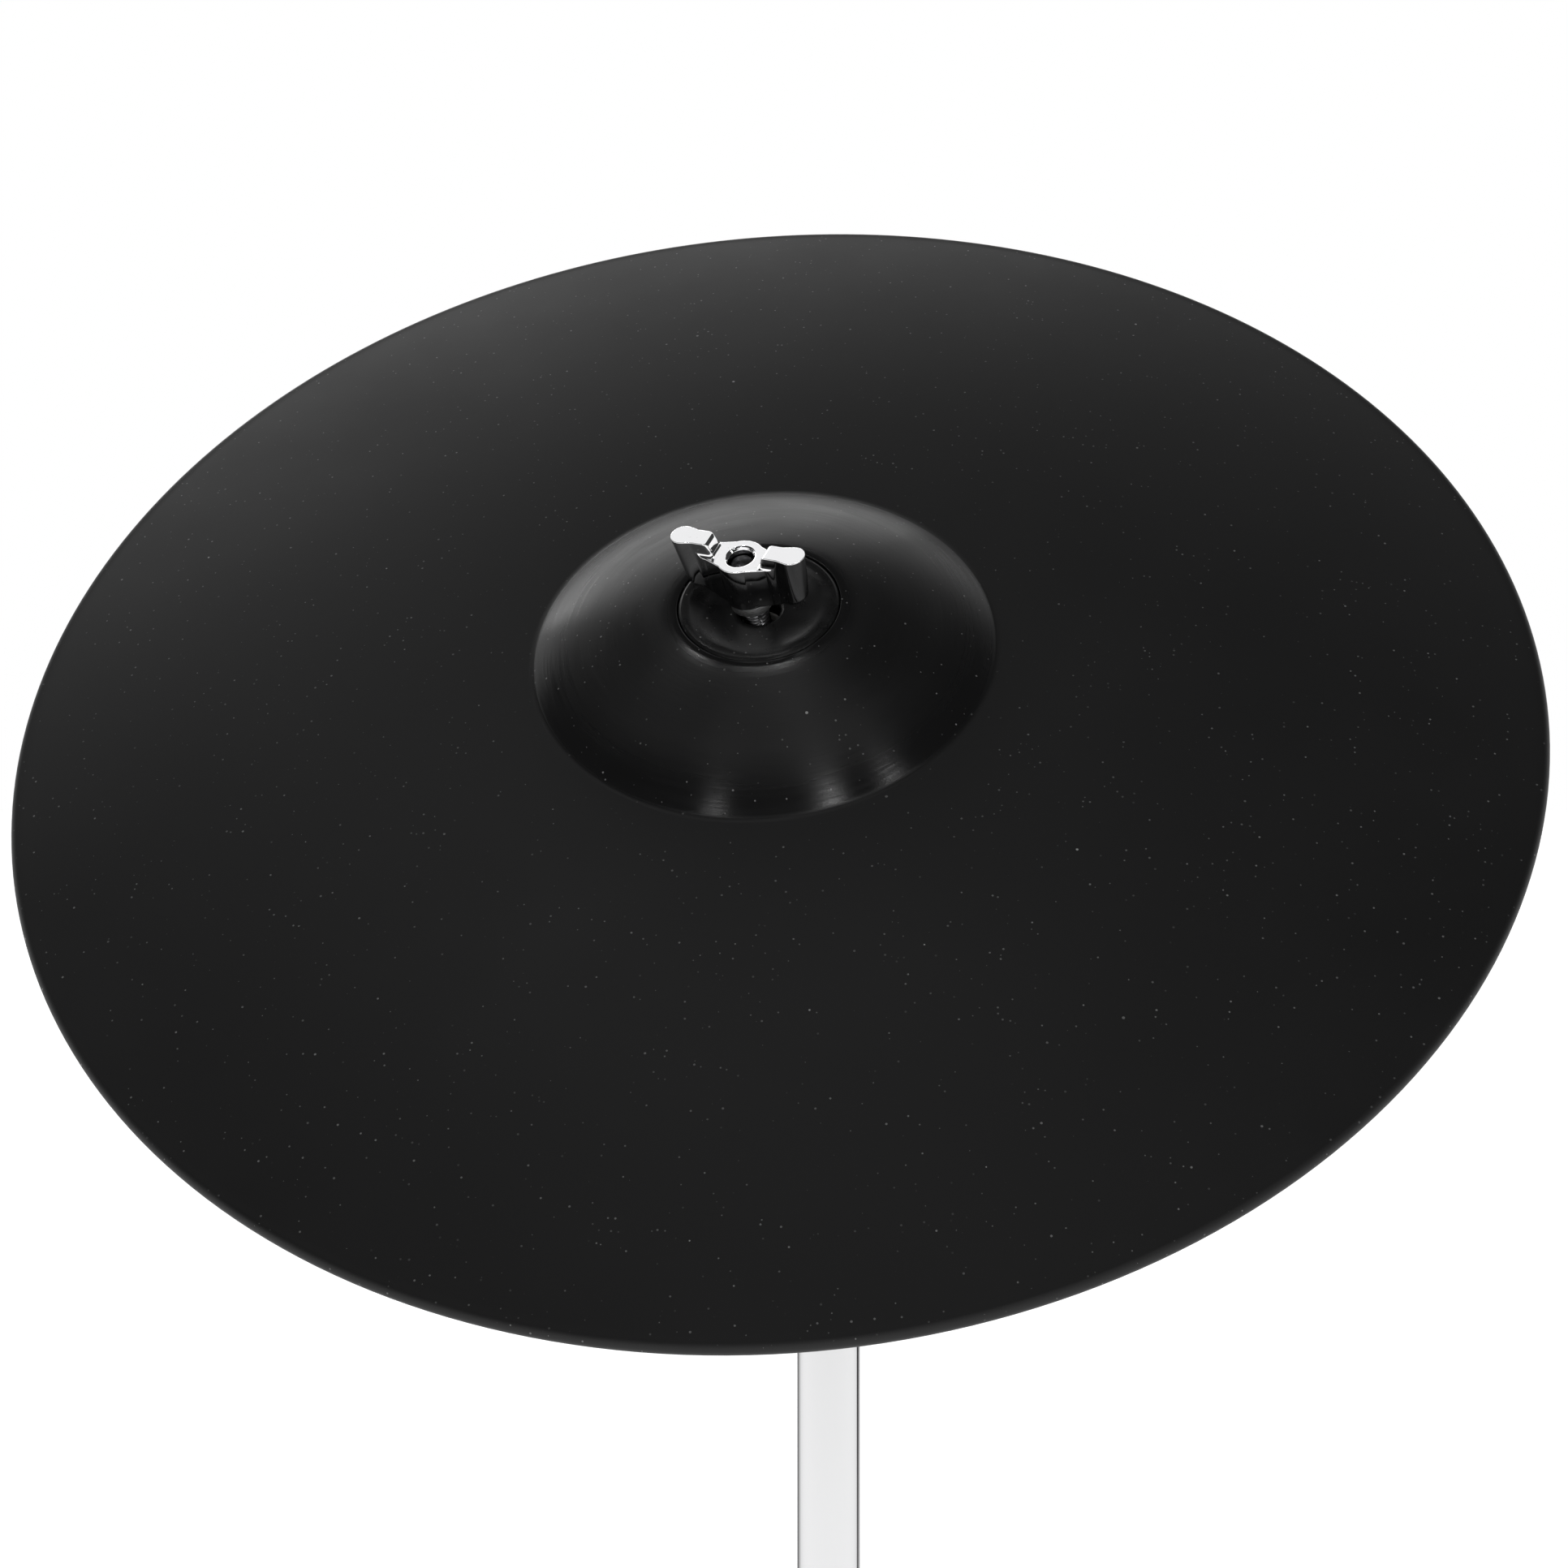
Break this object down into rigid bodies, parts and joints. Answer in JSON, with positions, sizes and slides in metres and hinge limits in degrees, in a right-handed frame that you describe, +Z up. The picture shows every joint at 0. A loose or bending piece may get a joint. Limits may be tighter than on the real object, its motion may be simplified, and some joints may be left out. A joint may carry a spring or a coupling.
{
  "type": "crash cymbal",
  "caption": "Round padded crash cymbal with a domed bell and cap, held by a wing nut on a threaded post whose tilter stands on a plain round tube.",
  "frame": {"origin": "middle of the flat foot of the stand's top tube", "axes": "+Z up along the tube, -Y towards the player and the cymbal's low edge, +X to the player's right"},
  "size_m": [0.4555, 0.3143, 0.5829],
  "materials": {
    "skin_rubber": "matte black rubber with fine turned rings on the bell",
    "cap_plastic": "satin black, dusty",
    "core_resin": "moulded",
    "switch_film": "printed film",
    "damping_foam": "open-cell foam",
    "cover_plastic": "fine leather-like texture",
    "black_nylon": "moulded nylon",
    "black_screw": "black zinc",
    "board_laminate": "solder-resist green",
    "pickup_brass": "plain brass",
    "lead_insulation": "soft insulation",
    "acetal": "off-white acetal",
    "felt": "pressed wool felt",
    "nut_chrome": "mirror chrome",
    "brushed_insert": "turned steel",
    "post_steel": "threaded steel",
    "tilter_chrome": "chromed casting",
    "tube_chrome": "chromed tube, lightly brushed along its length",
    "zinc_steel": "zinc plated",
    "friction_fibre": "pressed fibre",
    "plug_rubber": "moulded rubber"
  },
  "bodies": {
    "stand": {"stand_tube": "tube_chrome", "tube_plug": "plug_rubber", "tilter_base": "tilter_chrome", "tube_pin": "zinc_steel", "clamp_bolt": "tilter_chrome", "friction_washer": "friction_fibre"},
    "tilter": {"tilter_head": "tilter_chrome", "cymbal_post": "post_steel", "post_sleeve": "black_nylon", "domed_washer": "zinc_steel"},
    "seat": {"seat_felt": "felt"},
    "rocker": {"centre_bush": "acetal"},
    "cymbal": {"playing_surface": "skin_rubber", "edge_sensor": "switch_film", "bell_sensor": "switch_film", "core_plate": "core_resin", "damping_sheet": "damping_foam", "bottom_cover": "cover_plastic", "bell_cap": "cap_plastic", "cap_ring_nut": "black_nylon", "sensor_housing": "cover_plastic", "housing_screw_1": "black_screw", "housing_screw_2": "black_screw", "housing_screw_3": "black_screw", "housing_screw_4": "black_screw", "housing_screw_5": "black_screw", "housing_screw_6": "black_screw", "circuit_board": "board_laminate", "piezo_disc": "pickup_brass", "piezo_cushion": "damping_foam", "output_jack": "black_nylon", "jack_nut": "zinc_steel", "jack_lead": "lead_insulation", "pickup_lead": "lead_insulation", "switch_lead": "lead_insulation"},
    "nut_carrier": {"thread_insert": "brushed_insert"},
    "wing_nut_body": {"wing_nut": "nut_chrome"},
    "clamp_carrier": {"clamp_washer": "zinc_steel"},
    "clamp_nut_body": {"clamp_wing_nut": "nut_chrome"}
  },
  "joints": [
    {"name": "tilter_pivot", "type": "hinge", "parent": "stand", "child": "tilter", "pos_m": [-0.01067, 0.00306, 0.4], "axis": [0.9613, -0.2756, 0], "range_deg": [-126, 33]},
    {"name": "cymbal_nod", "type": "hinge", "parent": "tilter", "child": "seat", "pos_m": [-0.01994, -0.02927, 0.43225], "axis": [0.9613, -0.2756, 0], "range_deg": [-7.5, 6.5], "stiffness_Nm_per_rad": 1.5},
    {"name": "cymbal_roll", "type": "hinge", "parent": "seat", "child": "rocker", "pos_m": [-0.01994, -0.02927, 0.43225], "axis": [0.189, 0.6593, 0.7278], "range_deg": [-14.7, 0.3], "stiffness_Nm_per_rad": 1.5},
    {"name": "cymbal_spin", "type": "hinge", "parent": "rocker", "child": "cymbal", "pos_m": [-0.01994, -0.02927, 0.43225], "axis": [-0.0785, -0.7286, 0.6804], "continuous": true},
    {"name": "wing_nut_travel", "type": "slide", "parent": "tilter", "child": "nut_carrier", "axis": [-0.1989, -0.6938, 0.6921], "range_m": [0, 0.01251]},
    {"name": "wing_nut_turn", "type": "hinge", "parent": "nut_carrier", "child": "wing_nut_body", "pos_m": [-0.0246, -0.04551, 0.44845], "axis": [-0.1989, -0.6938, 0.6921], "range_deg": [0, 3600]},
    {"name": "clamp_travel", "type": "slide", "parent": "stand", "child": "clamp_carrier", "axis": [-0.9613, 0.2756, 0], "range_m": [0, 0.00301]},
    {"name": "clamp_turn", "type": "hinge", "parent": "clamp_carrier", "child": "clamp_nut_body", "pos_m": [-0.02028, 0.00582, 0.4], "axis": [-0.9613, 0.2756, 0], "range_deg": [0, 1080]}
  ],
  "couplings": [
    {"joint": "wing_nut_travel", "follows": "wing_nut_turn", "m_per_rad": 0.00019894},
    {"joint": "clamp_travel", "follows": "clamp_turn", "m_per_rad": 0.00015915}
  ]
}
